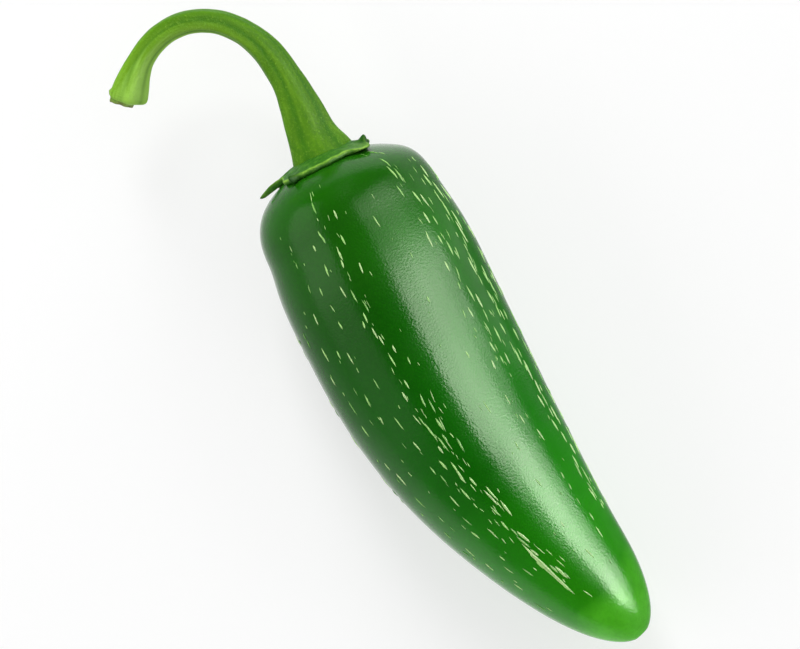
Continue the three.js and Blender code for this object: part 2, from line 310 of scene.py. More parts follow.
def grow(name, tree, source, inputs):
    """Runs a tree on a source mesh and keeps the result as a plain object at the origin."""
    piece = bpy.data.objects.new(name, source)
    bpy.context.scene.collection.objects.link(piece)
    modifier = piece.modifiers.new("grow", "NODES")
    modifier.node_group = tree
    for socket in tree.interface.items_tree:
        if socket.in_out == "INPUT" and socket.name in inputs:
            modifier[socket.identifier] = inputs[socket.name]
    bpy.context.view_layer.update()
    grown = piece.evaluated_get(bpy.context.evaluated_depsgraph_get())
    mesh = bpy.data.meshes.new_from_object(grown)
    piece.modifiers.remove(modifier)
    piece.data = mesh
    mesh.name = name
    return piece


def new_finish(name):
    material = bpy.data.materials.new(name)
    material.use_nodes = True
    tree = material.node_tree
    return material, tree, tree.nodes["Principled BSDF"]


def read(tree, name):
    """A piece's own attribute, in its finish."""
    return add(tree, "ShaderNodeAttribute", attribute_name=name).outputs


def ramp(tree, factor, stops):
    node = add(tree, "ShaderNodeValToRGB", {"Fac": factor})
    marks = node.color_ramp.elements
    while len(marks) < len(stops):
        marks.new(1.0)
    for mark, (place, colour) in zip(marks, stops):
        mark.position = place
        mark.color = (*colour, 1.0)
    return node.outputs["Color"]


def noise(tree, vector, scale, detail=2.0, roughness=0.5):
    feeds = {"Vector": vector, "Scale": scale, "Detail": detail, "Roughness": roughness}
    return add(tree, "ShaderNodeTexNoise", feeds).outputs[0]


def blend(tree, factor, first, second):
    """The mix of a colour's socket and another colour, which is a socket or three numbers."""
    if not isinstance(second, bpy.types.NodeSocket):
        second = (*second, 1.0)
    return add(tree, "ShaderNodeMix", {0: factor, 6: first, 7: second}, data_type="RGBA").outputs[2]


def bump(tree, height, depth, strength, below=None):
    feeds = {"Height": height, "Distance": depth, "Strength": strength}
    if below:
        feeds["Normal"] = below
    return add(tree, "ShaderNodeBump", feeds).outputs[0]


def sideways(tree, straight):
    """Where a spot is round its sweep: 1 on the side of angle 0, -1 on the other and 0 on top."""
    x, y, _ = split_xyz(tree, straight)
    return calc(tree, "DIVIDE", x, calc_vector(tree, "LENGTH", join_xyz(tree, x, y, LEAST_LENGTH)))


def pod_finish():
    """Waxy skin: darkest at the shoulder and lighter towards the tip, with a painted glow at the very tip
    and painted light on its right side; clouded, with a fine leathery grain and the pale worn end of the
    flower's stalk on its scar."""
    material, tree, shader = new_finish("pod_skin_wax")
    straight = read(tree, "straight")["Vector"]
    along = read(tree, "along")["Fac"]
    clouds = noise(tree, straight, CLOUD_SCALE, detail=3.0, roughness=0.55)
    shifted = calc(tree, "MULTIPLY_ADD", calc(tree, "SUBTRACT", clouds, 0.5), CLOUD_SHIFT, along)
    # The ramp's brightest end, at the tip, is a painted glow.
    green = ramp(tree, shifted, POD_GREENS_AND_TIP_GLOW)
    # Painted light: the right side, under the bank, is made lighter from past the shoulder, less so near
    # the tip.
    on_right = clamped(tree, sideways(tree, straight), *RIGHT_LIGHT_SIDE)
    past_shoulder = clamped(tree, along, *RIGHT_LIGHT_START)
    fading = calc(tree, "MINIMUM", calc(tree, "MULTIPLY_ADD", along, *RIGHT_LIGHT_END), RIGHT_LIGHT_MOST)
    painted_right_light = calc(tree, "MULTIPLY", calc(tree, "MULTIPLY", on_right, past_shoulder), fading)
    green = stretch(tree, green, calc(tree, "ADD", painted_right_light, 1.0))
    speckle = noise(tree, straight, SPECKLE_SCALE, roughness=0.6)
    lighter = calc(tree, "MULTIPLY", calc(tree, "SUBTRACT", speckle, 0.45), 0.5)
    green = blend(tree, calc(tree, "MAXIMUM", lighter, 0.0), green, SPECKLE_GREEN)
    green = blend(tree, clamped(tree, along, *SCAR_START), green, SCAR_COLOUR)
    tree.links.new(green, shader.inputs["Base Color"])
    smear = noise(tree, straight, SMEAR_SCALE)
    rough = calc(tree, "MULTIPLY_ADD", smear, 0.10, 0.14)
    tree.links.new(rough, shader.inputs["Roughness"])
    shader.inputs["Specular IOR Level"].default_value = 0.36
    shader.inputs["Specular Tint"].default_value = (0.92, 1.0, 0.83, 1.0)
    shader.inputs["Subsurface Weight"].default_value = 0.12
    shader.inputs["Subsurface Radius"].default_value = (0.4, 1.0, 0.12)
    shader.inputs["Subsurface Scale"].default_value = 1.2 * MM
    dimple_feeds = {"Vector": straight, "Scale": DIMPLE_SCALE}
    dimples = add(tree, "ShaderNodeTexVoronoi", dimple_feeds, feature="SMOOTH_F1")
    grain = bump(tree, dimples.outputs["Distance"], DIMPLE_DEPTH, 0.6)
    wrinkled = add(tree, "ShaderNodeMapping", {"Vector": straight, "Scale": (1.0, 1.0, 3.5)}).outputs[0]
    wrinkles = noise(tree, wrinkled, WRINKLE_SCALE, detail=3.0, roughness=0.6)
    tree.links.new(bump(tree, wrinkles, WRINKLE_DEPTH, 0.25, grain), shader.inputs["Normal"])
    return material


pod_at = [smooth_curve(POD_STATIONS, column) for column in (1, 2)]
pod_girth = smooth_curve([(s, 0, 0, radius * radius) for s, _, _, radius in POD_STATIONS], 3)


def pod_radius(s):
    """The pod's radius at a distance along it, both in mm."""
    return math.sqrt(max(pod_girth(s), 0.0))


def pod_middle(s):
    """The middle of the pod at a distance along it in mm."""
    return SHOULDER + Vector((s, pod_at[0](s), pod_at[1](s))) * MM


pod_steps = [POD_STATIONS[-1][0] * i / LINE_STEPS for i in range(LINE_STEPS + 1)]
pod_line = centre_line(
    "pod_line",
    [pod_middle(s) for s in pod_steps],
    [pod_radius(s) * MM for s in pod_steps],
)
scar_s = POD_STATIONS[-1][0]
while pod_radius(scar_s) * MM < SCAR_RADIUS:
    scar_s -= 0.01
scar_middle = pod_middle(scar_s)
scar_axis = Vector([0.02] + [bend(scar_s + 0.01) - bend(scar_s - 0.01) for bend in pod_at]).normalized()

POD_SWEEP = {
    "Centre line": pod_line,
    "Lobes": float(POD_LOBES),
    "Lobe height": LOBE_HEIGHT,
    "Lobe turn": LOBE_TURN,
    "Lobe twist": 0.0,
    "Wave width": POD_WAVE_WIDTH,
    "Wave height": POD_WAVE_HEIGHT,
}
SWEPT_SKIN = swept_skin()
pod = grow(
    "pod_skin",
    SWEPT_SKIN,
    bpy.data.meshes.new("pod_source"),
    {
        **POD_SWEEP,
        "Sides": 240,
        "Rings": 340,
        "Tip": scar_middle,
        "Tip axis": scar_axis,
        "Finish": pod_finish(),
    },
)
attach(pod, "root")
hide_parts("pod")

# The corky streaks: short pale cracks that the skin healed as the pod swelled. They are part of the skin,
# run along the pod in bands, and stand a little proud. Each is a thin spindle laid on the pod's surface.
STREAK_BANDS = (  # degrees round and half width, first and last distance along in mm, streaks, size
    (104, 10, 6, 48, 26, 0.85),
    (105, 11, 42, 76, 24, 1.15),
    (128, 12, 9, 72, 22, 0.8),
    (151, 9, 24, 78, 12, 0.9),
    (46, 9, 5, 42, 24, 1.05),
    (51, 8, 40, 76, 8, 0.85),
    (26, 8, 8, 68, 30, 1.35),
    (8, 7, 10, 68, 20, 1.3),
    (73, 8, 12, 80, 8, 0.8),
    (345, 9, 12, 66, 12, 1.0),
    (318, 9, 8, 70, 16, 1.0),
    (292, 9, 12, 62, 8, 0.9),
    (242, 8, 16, 60, 7, 0.9),
    (215, 10, 10, 70, 16, 1.0),
    (185, 12, 20, 66, 9, 0.9),
)
LONG_SCAR = (109, 71, 6, 0.3, 0.03)  # degrees round, distance, half length and width in mm, slant
STREAK_HALF_LENGTH = (0.7, 1.5)
STREAK_HALF_WIDTH = (0.24, 0.38)
STREAK_SLANT = 0.24
STREAK_THINNING = 0.5  # the real ones are this much narrower than the solid's
STREAK_HEIGHT = 0.09 * MM
STREAK_SEED = 4711
FLECK_SEED = 1873
FLECKS_FOR_STREAK = 1.3  # fine flecks among the streaks, for each streak of a band
FLECK_HALF_LENGTH = (0.35, 0.9)
FLECK_HALF_WIDTH = (0.045, 0.075)
FLECK_REACH = 3  # mm, how far the flecks go past the ends of a band
FLECK_SPREAD = 1.6  # and how much wider their band is
FLECK_SLANT = 0.35
FLECK_TONE = 0.8
LONG_SCAR_TONE = 0.8
DRAW_FACTOR = 16807
DRAW_PERIOD = 2147483647
BALL_SEGMENTS = 8
BALL_RINGS = 12
WANDER = 0.26 * MM
WANDER_SCALE = 700.0  # bends for a metre of streak
TONE_STEP = 90.0  # keeps two streaks from wandering alike
SWELL_PLACE = (0.0, 31.0, 7.0)
SWELL_SCALE = 1.6
SWELL = (1.0, 0.5)  # how much a streak's width changes, and its least
CORK_SCALE = 2200.0
CORK_TONES = ((0.0, (0.20, 0.48, 0.085)), (0.5, (0.40, 0.74, 0.20)), (1.0, (0.66, 0.90, 0.40)))
SPLIT_FROM = 0.72  # how far up a streak it is split, as a share of its height
SPLIT_GREEN = (0.035, 0.22, 0.010)


def seeded_draw(seed):
    """The same numbers in every run, from 0 to 1."""
    state = seed

    def draw():
        nonlocal state
        state = state * DRAW_FACTOR % DRAW_PERIOD
        return state / DRAW_PERIOD

    return draw


def between(limits, share):
    return limits[0] + (limits[1] - limits[0]) * share


def streak_places():
    """A point for each streak and fleck, with its place and size as attributes."""
    rows = []
    draw = seeded_draw(STREAK_SEED)
    tone = seeded_draw(STREAK_SEED + 1)
    for angle, spread, first, last, count, size in STREAK_BANDS:
        for i in range(count):
            s = first + (last - first) * (i + draw()) / count
            around = math.radians(angle + spread * (draw() + draw() - 1))
            half_length = size * between(STREAK_HALF_LENGTH, draw())
            half_width = size * between(STREAK_HALF_WIDTH, draw()) * STREAK_THINNING
            slant = STREAK_SLANT * (draw() - 0.5)
            rows.append((s, around, half_length, half_width, slant, tone()))
    angle, *scar = LONG_SCAR
    rows.append((scar[0], math.radians(angle), *scar[1:], LONG_SCAR_TONE))
    draw = seeded_draw(FLECK_SEED)
    for angle, spread, first, last, count, size in STREAK_BANDS:
        for _ in range(round(count * FLECKS_FOR_STREAK)):
            s = between((first - FLECK_REACH, last + FLECK_REACH), draw())
            around = math.radians(angle + FLECK_SPREAD * spread * (draw() + draw() - 1))
            half_length = size * between(FLECK_HALF_LENGTH, draw() ** 2)
            half_width = size * between(FLECK_HALF_WIDTH, draw())
            slant = FLECK_SLANT * (draw() - 0.5)
            rows.append((s, around, half_length, half_width, slant, tone() * FLECK_TONE))
    mesh = bpy.data.meshes.new("streak_places")
    mesh.from_pydata([(i * MM, 0, 0) for i in range(len(rows))], [], [])
    columns = {
        "share": [s * MM / POD_LENGTH for s, *_ in rows],
        "round": [row[1] for row in rows],
        "half_length": [row[2] * MM for row in rows],
        "half_width": [row[3] * MM for row in rows],
        "slant": [row[4] for row in rows],
        "tone": [row[5] for row in rows],
        "radius_there": [pod_radius(row[0]) * MM for row in rows],
    }
    for column, numbers in columns.items():
        mesh.attributes.new(column, "FLOAT", "POINT").data.foreach_set("value", numbers)
    return mesh


def streak_tree():
    """A spindle on every point, wandering a little and laid on the pod."""
    tree, given, result = new_tree(
        "corky_streaks",
        {
            "Geometry": "Geometry",
            "Centre line": "Object",
            **SWEEP_INPUTS,
            "Length": "Float",
            "Height": "Float",
            "Wander": "Float",
            "Finish": "Material",
        },
        {"Geometry": "Geometry"},
    )
    size = {"Segments": BALL_SEGMENTS, "Rings": BALL_RINGS}
    ball = add(tree, "GeometryNodeMeshUVSphere", size).outputs[0]
    ball = store(tree, ball, "shape", add(tree, "GeometryNodeInputPosition").outputs[0], "FLOAT_VECTOR")
    feeds = {"Points": given["Geometry"], "Instance": ball}
    laid = add(tree, "GeometryNodeInstanceOnPoints", feeds).outputs[0]
    laid = add(tree, "GeometryNodeRealizeInstances", {0: laid}).outputs[0]
    across, proud, forward = split_xyz(tree, stored(tree, "shape", "FLOAT_VECTOR"))
    run = calc(tree, "MULTIPLY", forward, stored(tree, "half_length"))
    own_row = calc(tree, "MULTIPLY", stored(tree, "tone"), TONE_STEP)
    seat = join_xyz(tree, calc(tree, "MULTIPLY", run, WANDER_SCALE), own_row, 0.0)
    wander = calc(tree, "SUBTRACT", noise(tree, seat, 1.0, 2.0), 0.5)
    shifted = calc_vector(tree, "ADD", seat, SWELL_PLACE)
    swell = calc(tree, "MULTIPLY_ADD", noise(tree, shifted, SWELL_SCALE, 1.0), *SWELL)
    ends = calc(tree, "SUBTRACT", 1.0, calc(tree, "MULTIPLY", forward, forward))
    ends = calc(tree, "POWER", calc(tree, "MAXIMUM", ends, 0.0), 0.5)
    width = calc(tree, "MULTIPLY", calc(tree, "MULTIPLY", stored(tree, "half_width"), swell), ends)
    side = calc(tree, "MULTIPLY", wander, given["Wander"])
    side = calc(tree, "MULTIPLY_ADD", run, stored(tree, "slant"), side)
    side = calc(tree, "SUBTRACT", side, calc(tree, "MULTIPLY", across, width))
    turned = calc(tree, "DIVIDE", side, stored(tree, "radius_there"))
    angle = calc(tree, "ADD", stored(tree, "round"), turned)
    share = calc(tree, "ADD", stored(tree, "share"), calc(tree, "DIVIDE", run, given["Length"]))
    lift = calc(tree, "MULTIPLY", calc(tree, "MULTIPLY", proud, ends), given["Height"])
    px, py, pz = split_xyz(tree, place_on_sweep(tree, given, share, angle, lift)["Place"])
    place = join_xyz(tree, px, py, calc(tree, "MAXIMUM", pz, 0.0))
    laid = add(tree, "GeometryNodeSetPosition", {"Geometry": laid, "Position": place}).outputs[0]
    finish_tree(tree, laid, given["Finish"], result)
    return tree


def streak_finish():
    """Dry pale cork, yellow-green, lighter on some streaks, which have split open round a green middle."""
    material, tree, shader = new_finish("streak_cork")
    tone = read(tree, "tone")["Fac"]
    place = add(tree, "ShaderNodeTexCoord").outputs["Object"]
    mottle = calc(tree, "SUBTRACT", noise(tree, place, CORK_SCALE), 0.5)
    cork = ramp(tree, calc(tree, "MULTIPLY_ADD", mottle, 0.7, tone), CORK_TONES)
    proud = split_xyz(tree, read(tree, "shape")["Vector"])[1]
    middle = calc(tree, "MULTIPLY", calc(tree, "SUBTRACT", proud, SPLIT_FROM), 3.0)
    opened = calc(tree, "MULTIPLY", calc(tree, "SUBTRACT", tone, 0.5), 2.4)
    cork = blend(tree, clamped(tree, middle, opened, 0.0), cork, SPLIT_GREEN)
    tree.links.new(cork, shader.inputs["Base Color"])
    shader.inputs["Roughness"].default_value = 0.55
    return material


streaks = grow(
    "corky_streaks",
    streak_tree(),
    streak_places(),
    {
        **POD_SWEEP,
        "Length": POD_LENGTH,
        "Height": STREAK_HEIGHT,
        "Wander": WANDER,
        "Finish": streak_finish(),
    },
)
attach(streaks, "root")

# The calyx: the flower's green cup, dried to a thin cap on the pod's shoulder. It has a raised yellow-green
# rim with a few short teeth, one of them drawn out long, and it is laid on the pod's surface.
CALYX_RADIUS = 8.1
CALYX_TEETH = (  # degrees round, how far out of the margin in mm, half width in degrees, lift in mm
    (180, 3.6, 2.6, 1.15),
    (170, -2.0, 22, 0),
    (124, 1.0, 4, 0.3),
    (42, 2.1, 14, 0.65),
    (305, 0.8, 6, 0.25),
    (242, 0.7, 6, 0.2),
)
TOOTH_REACH = 2.2
CALYX_KNOBS = (  # angle in degrees, share of the way to the margin, height in mm, half width in degrees
    (180, 1.12, 0.3, 3.5),
    (124, 0.97, 0.8, 3),
    (22, 0.96, 1.0, 5),
    (305, 0.96, 0.6, 5),
    (242, 0.96, 0.6, 5),
)
KNOB_SHARE = 0.09  # half the length of a knob, as a share of the way to the margin
KNOB_STAIN = (7, 2)  # how much farther a knob's dark colour reaches round and outwards, as squares
CALYX_SIDES = 360
CALYX_PROFILE = (  # share of the way to the margin, height over the pod's skin in mm, how much it is rim
    (0.0, 1.1, 0),
    (0.35, 1.1, 0),
    (0.6, 1.04, 0),
    (0.7, 0.98, 0),
    (0.78, 0.92, 0),
    (0.86, 0.86, 0),
    (0.92, 0.86, 0),
    (0.94, 0.88, 0.1),
    (0.96, 0.92, 1),
    (0.985, 0.84, 1),
    (1.0, 0.62, 0.3),
    (1.0, 0.34, 0),
    (0.985, 0.12, 0),
    (0.95, -0.05, 0),
    (0.6, -0.15, 0),
    (0.0, -0.15, 0),
)
MARGIN_HEIGHT = 0.34  # the margin's lower edge
TOOTH_CURL = 6
TOOTH_THINNING = 0.55  # how much thinner the longest tooth is than the rim
TOOTH_PALENESS = 0.8  # how much of the rim's colour the longest tooth has
# Waves round it, their height in mm, and where they start or how far they turn on the way to the margin
RIM_WAVES = ((5, 0.10, 1.0), (11, 0.06, 0), (23, 0.05, 0))
FACE_WAVES = ((17, 0.05, 4), (7, 0.04, 0))
WELD = 0.002 * MM
CALYX_SCALE = 1300.0
FACE_GREENS = (
    (0.3, (0.016, 0.100, 0.006)),
    (0.55, (0.040, 0.170, 0.012)),
    (0.75, (0.085, 0.250, 0.022)),
)
RIM_GREENS = ((0.3, (0.100, 0.28, 0.018)), (0.7, (0.26, 0.50, 0.060)))
KNOB_GREEN = (0.006, 0.070, 0.004)


def shoulder_at(radius):
    """The distance along the pod, in mm, at which its shoulder has reached a radius."""
    low, high = 0.0, POD_STATIONS[2][0]
    for _ in range(40):
        middle = (low + high) / 2
        if pod_radius(middle) < radius:
            low = middle
        else:
            high = middle
    return low


def degrees_apart(angle, at):
    return (math.degrees(angle) - at + 540) % 360 - 180


def faces_between(rings, sides):
    """The faces that join each ring of corners to the next."""
    faces = []
    for ring in range(rings - 1):
        for side in range(sides):
            a = ring * sides + side
            b = ring * sides + (side + 1) % sides
            faces.append((a, b, b + sides, a + sides))
    return faces


def calyx_mesh():
    """The calyx as distance along the pod, angle and height over its skin, with rim and knobs marked."""
    corners, rim, knob = [], [], []
    for share, height, rimmed in CALYX_PROFILE:
        on_top = height > MARGIN_HEIGHT
        for side in range(CALYX_SIDES):
            angle = 2 * math.pi * side / CALYX_SIDES
            tooth = curled = 0.0
            for at, reach, half_width, raised in CALYX_TEETH:
                near = math.exp(-((degrees_apart(angle, at) / half_width) ** 2))
                tooth += reach * near
                curled += raised * near
            swollen = knobbed = 0.0
            for at, share_at, rise, half_width in CALYX_KNOBS:
                around = (degrees_apart(angle, at) / half_width) ** 2
                outward = ((share - share_at) / KNOB_SHARE) ** 2
                swollen += rise * math.exp(-around - outward)
                knobbed = max(knobbed, math.exp(-around / KNOB_STAIN[0] - outward / KNOB_STAIN[1]))
            wave = sum(high * math.sin(waves * angle + start) for waves, high, start in RIM_WAVES)
            longest = max(0.0, tooth) / TOOTH_REACH
            lift = height * (1 - TOOTH_THINNING * longest * share) + curled * share**TOOTH_CURL
            if on_top:
                lift += swollen
                for waves, high, turn in FACE_WAVES:
                    lift += share * high * math.sin(waves * angle + turn * share)
            reached = shoulder_at(share * (CALYX_RADIUS + tooth + wave))
            corners.append((reached * MM, angle, lift * MM))
            rim.append(min(1.0, rimmed + TOOTH_PALENESS * longest * share**TOOTH_CURL))
            knob.append(knobbed)
    mesh = bpy.data.meshes.new("calyx_flat")
    mesh.from_pydata(corners, [], faces_between(len(CALYX_PROFILE), CALYX_SIDES))
    for column, numbers in (("rim", rim), ("knob", knob)):
        mesh.attributes.new(column, "FLOAT", "POINT").data.foreach_set("value", numbers)
    return mesh


def laid_on_pod():
    """Lays a mesh of distance, angle and height on the pod's surface and welds its middle."""
    tree, given, result = new_tree(
        "laid_on_pod",
        {
            "Geometry": "Geometry",
            "Centre line": "Object",
            **SWEEP_INPUTS,
            "Length": "Float",
            "Weld": "Float",
            "Finish": "Material",
        },
        {"Geometry": "Geometry"},
    )
    distance, angle, lift = split_xyz(tree, add(tree, "GeometryNodeInputPosition").outputs[0])
    share = calc(tree, "DIVIDE", distance, given["Length"])
    swept = place_on_sweep(tree, given, share, angle, lift)
    moved = {"Geometry": given["Geometry"], "Position": swept["Place"]}
    laid = add(tree, "GeometryNodeSetPosition", moved).outputs[0]
    feeds = {"Geometry": laid, "Distance": given["Weld"]}
    welded = add(tree, "GeometryNodeMergeByDistance", feeds).outputs[0]
    finish_tree(tree, welded, given["Finish"], result)
    return tree


def calyx_finish():
    """Dull green, veined outwards, with the yellow-green rim and the dark dried knobs of the teeth."""
    material, tree, shader = new_finish("calyx_leaf")
    place = add(tree, "ShaderNodeTexCoord").outputs["Object"]
    mottle = noise(tree, place, CALYX_SCALE, detail=3.0, roughness=0.65)
    face = ramp(tree, mottle, FACE_GREENS)
    leaf = blend(tree, read(tree, "rim")["Fac"], face, ramp(tree, mottle, RIM_GREENS))
    dark = calc(tree, "MULTIPLY", read(tree, "knob")["Fac"], 0.95)
    leaf = blend(tree, dark, leaf, KNOB_GREEN)
    tree.links.new(leaf, shader.inputs["Base Color"])
    shader.inputs["Roughness"].default_value = 0.5
    shader.inputs["Specular IOR Level"].default_value = 0.15
    tree.links.new(bump(tree, mottle, 0.2 * MM, 0.8), shader.inputs["Normal"])
    return material


calyx = grow(
    "calyx_cap",
    laid_on_pod(),
    calyx_mesh(),
    {**POD_SWEEP, "Length": POD_LENGTH, "Weld": WELD, "Finish": calyx_finish()},
)
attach(calyx, "root")
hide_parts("calyx")

# The stem: the stalk that held the pod, flared where it grows out of the calyx, hooked over, and swollen at
# the joint where it was picked. It has five rounded ribs that turn slowly, and fine grooves between them.
STEM_STATIONS = (  # mm: distance along the stem, x, y and z from the pod's shoulder, radius
    (0, 1.4, -0.15, 15.8, 5.3),
    (2.2, -0.8, 0.0, 15.95, 4.75),
    (4.8, -3.4, 0.15, 16.1, 3.95),
    (8.5, -7.1, 0.65, 16.4, 3.42),
    (13.7, -12.1, 1.25, 16.9, 2.7),
    (18.5, -17.1, 1.1, 17.3, 2.37),
    (24.5, -22.4, -0.45, 17.6, 2.02),
    (29.3, -26.2, -3.2, 17.6, 1.85),
    (34.4, -28.75, -7.55, 17.3, 1.82),
    (40.0, -29.0, -12.8, 16.6, 1.88),
    (44.8, -27.25, -17.1, 15.7, 2.1),
    (48.6, -24.9, -20.0, 14.95, 2.75),
    (50.0, -23.93, -21.0, 14.63, 2.95),
)
STEM_RIBS = 5
RIB_HEIGHT = 0.055
RIB_TWIST = 0.9  # radians over the stem's length
RIB_TURN = 0.4  # where the first rib starts, in radians
STEM_END_ROUND = 1.35  # how far the swollen joint rounds over past the last station
STEM_FOOT_ROUND = 0.2
STEM_WAVE_WIDTH = 3.5 * MM
STEM_WAVE_HEIGHT = 0.22 * MM
FIBRE_STRETCH = 0.09  # fibres are as much wider than long
FIBRE_SCALE = 1600.0
FIBRE_DEPTH = 0.12 * MM
BAND_SCALE = 420.0
WART_SCALE = 2400.0
WART_DEPTH = 0.2 * MM
WART_START = (5.0, -2.7)
WART_GLINT_GREEN = (0.25, 0.50, 0.04)
STEM_GREENS = (
    (0.3, (0.055, 0.190, 0.003)),
    (0.5, (0.098, 0.265, 0.006)),
    (0.66, (0.165, 0.370, 0.014)),
    (0.85, (0.330, 0.620, 0.080)),
)
GROOVE_SHADE_GREEN = (0.042, 0.180, 0.002)
HOOK_START = (2.5, -0.8)  # a factor and an offset of the way along, where the hook begins

stem_at = [smooth_curve(STEM_STATIONS, column) for column in (1, 2, 3, 4)]
stem_full = STEM_STATIONS[-1][0]
stem_length = stem_full + STEM_END_ROUND


def stem_middle(s):
    """The middle of the stem at a distance along it in mm."""
    return SHOULDER + Vector([stem_at[axis](s) for axis in range(3)]) * MM


def stem_radius(s):
    """The stem's radius in mm, rounded over to nothing at its very end and foot."""
    if s > stem_full:
        return STEM_STATIONS[-1][4] * max(0.0, 1 - ((s - stem_full) / STEM_END_ROUND) ** 4) ** 0.5
    return stem_at[3](s) * min(1.0, s / STEM_FOOT_ROUND) ** 0.5


stem_steps = [stem_length * i / LINE_STEPS for i in range(LINE_STEPS + 1)]
stem_line = centre_line(
    "stem_line",
    [stem_middle(s) for s in stem_steps],
    [stem_radius(s) * MM for s in stem_steps],
)


def stem_finish():
    """Satin yellow-green, streaked along its fibres, with painted shade in the grooves, paler towards its
    end and along its hook, with painted light on the inner side of the hook, and rough with tiny warts
    whose pale tops are painted glints."""
    material, tree, shader = new_finish("stem_green_bark")
    straight = read(tree, "straight")["Vector"]
    along = read(tree, "along")["Fac"]
    hooked = clamped(tree, along, *HOOK_START)
    # Painted light: the inner side of the hook is made paler, where the light from the right falls on it.
    painted_light_inside_hook = calc(tree, "MULTIPLY", sideways(tree, straight), hooked)
    long_grain = {"Vector": straight, "Scale": (1.0, 1.0, FIBRE_STRETCH)}
    fibres = add(tree, "ShaderNodeMapping", long_grain).outputs[0]
    fibre = noise(tree, fibres, FIBRE_SCALE, detail=4.0, roughness=0.65)
    bands = noise(tree, fibres, BAND_SCALE)
    mixed = calc(tree, "MULTIPLY_ADD", bands, 0.6, calc(tree, "MULTIPLY", fibre, 0.4))
    far_along = calc(tree, "POWER", along, 3.0)
    tone = calc(tree, "MULTIPLY_ADD", far_along, 0.4, calc(tree, "SUBTRACT", mixed, 0.06))
    tone = calc(tree, "MULTIPLY_ADD", painted_light_inside_hook, 0.22, calc(tree, "MULTIPLY_ADD", hooked, 0.07, tone))
    green = ramp(tree, tone, STEM_GREENS)
    x, y, _ = split_xyz(tree, straight)
    # Painted shade: the grooves between the ribs are darkened, less so towards the stem's end.
    turned = calc(tree, "MULTIPLY_ADD", along, RIB_TWIST, RIB_TURN)
    turned = calc(tree, "SUBTRACT", calc(tree, "ARCTAN2", y, x), turned)
    groove_shade = calc(tree, "COSINE", calc(tree, "MULTIPLY", turned, float(STEM_RIBS)))
    groove_shade = calc(tree, "POWER", calc(tree, "MULTIPLY_ADD", groove_shade, -0.5, 0.5), 5.0)
    groove_shade = calc(tree, "MULTIPLY", groove_shade, calc(tree, "MULTIPLY_ADD", far_along, -0.55, 0.85))
    green = blend(tree, groove_shade, green, GROOVE_SHADE_GREEN)
    # The warts are real bumps; their pale tops are painted glints.
    warts = noise(tree, straight, WART_SCALE, detail=3.0, roughness=0.75)
    wart_glints = calc(tree, "MULTIPLY", clamped(tree, warts, *WART_START), 0.55)
    green = blend(tree, wart_glints, green, WART_GLINT_GREEN)
    tree.links.new(green, shader.inputs["Base Color"])
    shader.inputs["Roughness"].default_value = 0.48
    shader.inputs["Specular IOR Level"].default_value = 0.12
    shader.inputs["Subsurface Weight"].default_value = 0.1
    shader.inputs["Subsurface Radius"].default_value = (0.6, 1.0, 0.2)
    shader.inputs["Subsurface Scale"].default_value = 0.8 * MM
    rough = bump(tree, warts, WART_DEPTH, 1.0)
    tree.links.new(bump(tree, fibre, FIBRE_DEPTH, 0.5, rough), shader.inputs["Normal"])
    return material


stem = grow(
    "stem_stalk",
    SWEPT_SKIN,
    bpy.data.meshes.new("stem_source"),
    {
        "Centre line": stem_line,
        "Sides": 120,
        "Rings": 420,
        "Lobes": float(STEM_RIBS),
        "Lobe height": RIB_HEIGHT,
        "Lobe turn": RIB_TURN,
        "Lobe twist": RIB_TWIST,
        "Wave width": STEM_WAVE_WIDTH,
        "Wave height": STEM_WAVE_HEIGHT,
        "Tip": SHOULDER + UP,  # far above it, so that nothing is cut
        "Tip axis": UP,
        "Finish": stem_finish(),
    },
)
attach(stem, "root")
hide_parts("stem")

# The picked end: where the stem snapped off its branch, a low corky ring round a brown hollow. It stands
# to the outside of the bend on the swollen joint.
END_PROFILE = (  # mm: radius, height over the joint's end, how brown
    (2.35, -0.9, 0),
    (2.15, -0.25, 0),
    (1.95, 0.1, 0.2),
    (1.9, 0.6, 0.4),
    (1.82, 0.86, 0.7),
    (1.62, 0.92, 0.9),
    (1.42, 0.78, 1),
    (1.2, 0.5, 1),
    (0.8, 0.42, 0.7),
    (0.35, 0.5, 0.5),
    (0.0, 0.52, 0.5),
)
END_SIDES = 72
END_OUTSIDE = 0.8
END_SEATED = 0.5  # how far back from the stem's very end the ring stands
END_ABOVE = 0.5  # the ring is uneven over this height
END_SCALE = 2500.0
END_DEPTH = 0.2 * MM
END_GREENS = ((0.3, (0.13, 0.32, 0.010)), (0.7, (0.30, 0.52, 0.05)))
END_BROWNS = ((0.3, (0.055, 0.045, 0.010)), (0.6, (0.20, 0.17, 0.045)), (0.8, (0.42, 0.42, 0.16)))


def picked_end_mesh():
    end = stem_middle(stem_length - END_SEATED)
    along = (end - stem_middle(stem_length - END_SEATED - 1)).normalized()
    level = UP.cross(along).normalized()
    upright = along.cross(level)
    middle = end - level * END_OUTSIDE * MM
    corners, brown = [], []
    for radius, height, browned in END_PROFILE:
        for side in range(END_SIDES):
            angle = 2 * math.pi * side / END_SIDES
            ragged = 1 + 0.05 * math.sin(3 * angle + 0.7) + 0.03 * math.sin(8 * angle + 9 * height)
            worn = height + 0.05 * math.sin(7 * angle)
            if height > END_ABOVE:
                worn += 0.10 * math.sin(2 * angle + 1)
            outward = level * math.cos(angle) + upright * math.sin(angle)
            corners.append(middle + outward * radius * ragged * MM + along * worn * MM)
            brown.append(min(1.0, max(0.0, browned + 0.2 * math.sin(5 * angle))))
    faces = [*faces_between(len(END_PROFILE), END_SIDES), tuple(reversed(range(END_SIDES)))]
    mesh = bpy.data.meshes.new("picked_end")
    mesh.from_pydata(corners, [], faces)
    mesh.attributes.new("brown", "FLOAT", "POINT").data.foreach_set("value", brown)
    mesh.shade_smooth()
    return mesh


